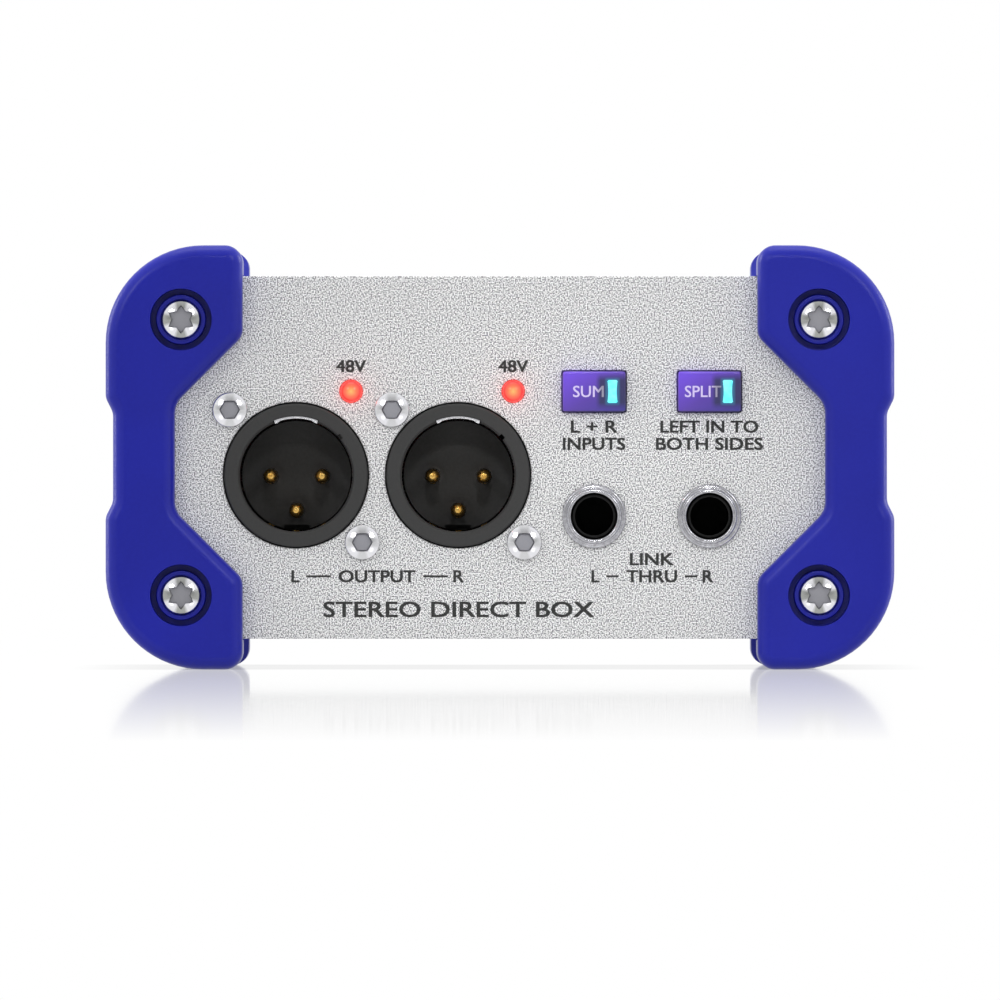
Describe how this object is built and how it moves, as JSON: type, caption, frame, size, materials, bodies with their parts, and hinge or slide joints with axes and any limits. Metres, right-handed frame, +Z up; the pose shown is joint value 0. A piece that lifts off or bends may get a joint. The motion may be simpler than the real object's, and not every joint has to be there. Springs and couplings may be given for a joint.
{
  "type": "direct injection box",
  "caption": "Stereo direct injection box: grained silver case between blue rubber bumpers, with XLR outputs, jack sockets, lit push-buttons and phantom-power lamps.",
  "frame": {"origin": "middle of the footprint, on the surface that the box stands on", "axes": "+X to the right as one faces the front panel, +Y towards the rear panel, +Z up"},
  "size_m": [0.1334, 0.125, 0.0717],
  "materials": {
    "rubber": "satin moulded, blue",
    "grained_silver": "silver paint with a strong fine grain",
    "chrome": "polished",
    "gold": "gold plated",
    "black_plastic": "matte moulded, black",
    "grey_plastic": "matte moulded, dark grey",
    "violet_plastic": "glossy, translucent violet",
    "cyan_window": "lit window",
    "red_lens": "lit lens",
    "board": "green circuit board",
    "aluminium_can": "satin"
  },
  "bodies": {
    "case": {"amplifier_chip_left": "black_plastic", "amplifier_chip_right": "black_plastic", "board_header": "black_plastic", "bumper_left": "rubber", "bumper_right": "rubber", "bumper_screw_front_lower_left": "chrome", "bumper_screw_front_lower_right": "chrome", "bumper_screw_front_upper_left": "chrome", "bumper_screw_front_upper_right": "chrome", "bumper_screw_rear_lower_left": "chrome", "bumper_screw_rear_lower_right": "chrome", "bumper_screw_rear_upper_left": "chrome", "bumper_screw_rear_upper_right": "chrome", "capacitor_left": "aluminium_can", "capacitor_right": "aluminium_can", "case_sleeve": "grained_silver", "front_panel": "grained_silver", "ground_button_switch": "black_plastic", "input_jack_left_body": "black_plastic", "input_jack_left_ferrule": "chrome", "input_jack_right_body": "black_plastic", "input_jack_right_ferrule": "chrome", "lamp_left": "red_lens", "lamp_right": "red_lens", "link_jack_left_body": "black_plastic", "link_jack_left_ferrule": "chrome", "link_jack_right_body": "black_plastic", "link_jack_right_ferrule": "chrome", "main_board": "board", "mini_jack_body": "black_plastic", "mini_jack_nut": "chrome", "pad_button_switch": "black_plastic", "rear_panel": "grained_silver", "split_button_switch": "black_plastic", "sum_button_switch": "black_plastic", "switch_board": "board", "xlr_left_ground_spring": "chrome", "xlr_left_insert": "black_plastic", "xlr_left_pin_1": "gold", "xlr_left_pin_2": "gold", "xlr_left_pin_3": "gold", "xlr_left_screw_lower": "chrome", "xlr_left_screw_upper": "chrome", "xlr_left_shell": "grey_plastic", "xlr_right_ground_spring": "chrome", "xlr_right_insert": "black_plastic", "xlr_right_pin_1": "gold", "xlr_right_pin_2": "gold", "xlr_right_pin_3": "gold", "xlr_right_screw_lower": "chrome", "xlr_right_screw_upper": "chrome", "xlr_right_shell": "grey_plastic"},
    "sum_button": {"sum_button_cap": "violet_plastic", "sum_button_window": "cyan_window"},
    "split_button": {"split_button_cap": "violet_plastic", "split_button_window": "cyan_window"},
    "pad_button": {"pad_button_cap": "violet_plastic"},
    "ground_button": {"ground_button_cap": "violet_plastic"}
  },
  "joints": [
    {"name": "sum_button_press", "type": "slide", "parent": "case", "child": "sum_button", "axis": [0, 1, 0], "range_m": [0, 0.002], "stiffness_N_per_m": 400, "springref_m": -0.001},
    {"name": "split_button_press", "type": "slide", "parent": "case", "child": "split_button", "axis": [0, 1, 0], "range_m": [0, 0.002], "stiffness_N_per_m": 400, "springref_m": -0.001},
    {"name": "pad_button_press", "type": "slide", "parent": "case", "child": "pad_button", "axis": [0, -1, 0], "range_m": [0, 0.002], "stiffness_N_per_m": 400, "springref_m": -0.001},
    {"name": "ground_button_press", "type": "slide", "parent": "case", "child": "ground_button", "axis": [0, -1, 0], "range_m": [0, 0.002], "stiffness_N_per_m": 400, "springref_m": -0.001}
  ]
}
